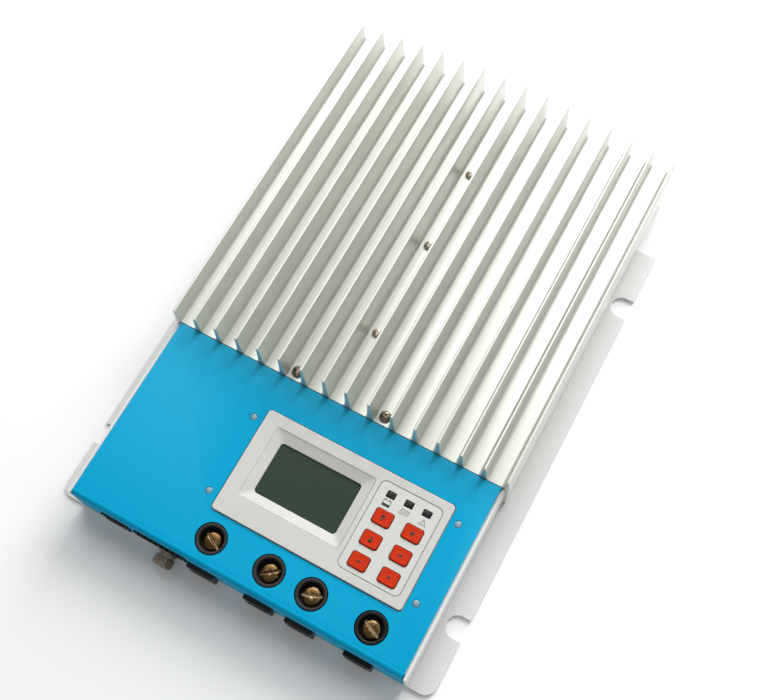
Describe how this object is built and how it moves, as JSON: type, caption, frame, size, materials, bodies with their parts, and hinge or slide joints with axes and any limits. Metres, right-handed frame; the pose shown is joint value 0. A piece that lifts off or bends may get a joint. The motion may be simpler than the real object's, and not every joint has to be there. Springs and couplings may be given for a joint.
{
  "type": "charge controller",
  "caption": "Solar charge controller with a finned aluminium heatsink, blue front cover, display and key panel, screw-clamp wire terminals and notched wall-mounting flanges.",
  "frame": {"origin": "centre of the bounding box on the mounting plate's bottom face", "axes": "+X across the fins, towards the key panel's side; +Y from the wiring end to the heatsink end; +Z away from the mounting plate"},
  "size_m": [0.2306, 0.33, 0.0548],
  "materials": {
    "painted_tray": "white silver powder coat, fine grain",
    "fin_aluminium": "extruded, clear anodised, satin",
    "blue_paint": "satin cyan-blue powder coat",
    "grey_plastic": "fine-grained moulded ABS",
    "display_glass": "dark green-grey display lens",
    "display_core": "display glass in a plastic frame",
    "circuit_board": "green solder mask",
    "overlay_film": "printed polycarbonate overlay",
    "orange_key": "orange-red moulded key",
    "black_lens": "smoked indicator lens",
    "black_plastic": "black moulded nylon",
    "brass_screw": "machined brass, slightly dulled",
    "plated_steel": "zinc plated",
    "copper_bar": "tinned copper bar",
    "coil": "enamelled copper winding on a ferrite ring"
  },
  "bodies": {
    "housing": {"base_plate": "painted_tray", "heatsink": "fin_aluminium", "side_wall_left": "painted_tray", "side_wall_right": "painted_tray", "front_cover": "blue_paint", "bezel": "grey_plastic", "lcd_window": "display_glass", "lcd_module": "display_core", "display_board": "circuit_board", "keypad_overlay": "overlay_film", "led_lens_1": "black_lens", "led_lens_2": "black_lens", "led_lens_3": "black_lens", "terminal_1": "black_plastic", "terminal_bar_1": "copper_bar", "terminal_2": "black_plastic", "terminal_bar_2": "copper_bar", "terminal_3": "black_plastic", "terminal_bar_3": "copper_bar", "terminal_4": "black_plastic", "terminal_bar_4": "copper_bar", "data_socket": "black_plastic", "signal_header": "black_plastic", "end_screw_1": "plated_steel", "end_screw_2": "plated_steel", "channel_screw_1": "plated_steel", "channel_screw_2": "plated_steel", "channel_screw_3": "plated_steel", "bezel_stud_1": "plated_steel", "bezel_stud_2": "plated_steel", "bezel_stud_3": "plated_steel", "bezel_stud_4": "plated_steel", "main_board": "circuit_board", "heat_spreader": "fin_aluminium", "power_transistor_1": "black_plastic", "power_transistor_2": "black_plastic", "power_transistor_3": "black_plastic", "power_transistor_4": "black_plastic", "inductor_1": "coil", "inductor_2": "coil", "capacitor_1": "black_plastic", "capacitor_2": "black_plastic", "capacitor_3": "black_plastic"},
    "key_1_body": {"key_1": "orange_key"},
    "key_2_body": {"key_2": "orange_key"},
    "key_3_body": {"key_3": "orange_key"},
    "key_4_body": {"key_4": "orange_key"},
    "key_5_body": {"key_5": "orange_key"},
    "key_6_body": {"key_6": "orange_key"},
    "terminal_screw_1_body": {"terminal_screw_1": "brass_screw"},
    "terminal_cage_1_body": {"terminal_cage_1": "plated_steel"},
    "terminal_screw_2_body": {"terminal_screw_2": "brass_screw"},
    "terminal_cage_2_body": {"terminal_cage_2": "plated_steel"},
    "terminal_screw_3_body": {"terminal_screw_3": "brass_screw"},
    "terminal_cage_3_body": {"terminal_cage_3": "plated_steel"},
    "terminal_screw_4_body": {"terminal_screw_4": "brass_screw"},
    "terminal_cage_4_body": {"terminal_cage_4": "plated_steel"},
    "ground_washer_body": {"ground_washer": "plated_steel"},
    "ground_screw_body": {"ground_screw": "plated_steel"}
  },
  "joints": [
    {"name": "key_1_press", "type": "slide", "parent": "housing", "child": "key_1_body", "axis": [0, 0, -1], "range_m": [0, 0.0008], "stiffness_N_per_m": 900},
    {"name": "key_2_press", "type": "slide", "parent": "housing", "child": "key_2_body", "axis": [0, 0, -1], "range_m": [0, 0.0008], "stiffness_N_per_m": 900},
    {"name": "key_3_press", "type": "slide", "parent": "housing", "child": "key_3_body", "axis": [0, 0, -1], "range_m": [0, 0.0008], "stiffness_N_per_m": 900},
    {"name": "key_4_press", "type": "slide", "parent": "housing", "child": "key_4_body", "axis": [0, 0, -1], "range_m": [0, 0.0008], "stiffness_N_per_m": 900},
    {"name": "key_5_press", "type": "slide", "parent": "housing", "child": "key_5_body", "axis": [0, 0, -1], "range_m": [0, 0.0008], "stiffness_N_per_m": 900},
    {"name": "key_6_press", "type": "slide", "parent": "housing", "child": "key_6_body", "axis": [0, 0, -1], "range_m": [0, 0.0008], "stiffness_N_per_m": 900},
    {"name": "terminal_screw_1_turn", "type": "hinge", "parent": "housing", "child": "terminal_screw_1_body", "pos_m": [-0.0206, -0.142, 0.027], "axis": [0, 0, -1], "range_deg": [0, 1800]},
    {"name": "terminal_cage_1_rise", "type": "slide", "parent": "housing", "child": "terminal_cage_1_body", "axis": [0, 0, 1], "range_m": [0, 0.005]},
    {"name": "terminal_screw_2_turn", "type": "hinge", "parent": "housing", "child": "terminal_screw_2_body", "pos_m": [0.0141, -0.142, 0.027], "axis": [0, 0, -1], "range_deg": [0, 1800]},
    {"name": "terminal_cage_2_rise", "type": "slide", "parent": "housing", "child": "terminal_cage_2_body", "axis": [0, 0, 1], "range_m": [0, 0.005]},
    {"name": "terminal_screw_3_turn", "type": "hinge", "parent": "housing", "child": "terminal_screw_3_body", "pos_m": [0.0389, -0.142, 0.027], "axis": [0, 0, -1], "range_deg": [0, 1800]},
    {"name": "terminal_cage_3_rise", "type": "slide", "parent": "housing", "child": "terminal_cage_3_body", "axis": [0, 0, 1], "range_m": [0, 0.005]},
    {"name": "terminal_screw_4_turn", "type": "hinge", "parent": "housing", "child": "terminal_screw_4_body", "pos_m": [0.0736, -0.142, 0.027], "axis": [0, 0, -1], "range_deg": [0, 1800]},
    {"name": "terminal_cage_4_rise", "type": "slide", "parent": "housing", "child": "terminal_cage_4_body", "axis": [0, 0, 1], "range_m": [0, 0.005]},
    {"name": "ground_washer_out", "type": "slide", "parent": "housing", "child": "ground_washer_body", "axis": [0, -1, 0], "range_m": [0, 0.004]},
    {"name": "ground_screw_turn", "type": "hinge", "parent": "ground_washer_body", "child": "ground_screw_body", "pos_m": [-0.0428, -0.1565, 0.007], "axis": [0, -1, 0], "range_deg": [0, 1440]}
  ],
  "couplings": [
    {"joint": "terminal_screw_1_turn", "follows": "terminal_cage_1_rise", "rad_per_m": 6283.2},
    {"joint": "terminal_screw_2_turn", "follows": "terminal_cage_2_rise", "rad_per_m": 6283.2},
    {"joint": "terminal_screw_3_turn", "follows": "terminal_cage_3_rise", "rad_per_m": 6283.2},
    {"joint": "terminal_screw_4_turn", "follows": "terminal_cage_4_rise", "rad_per_m": 6283.2},
    {"joint": "ground_screw_turn", "follows": "ground_washer_out", "rad_per_m": 6283.2}
  ]
}
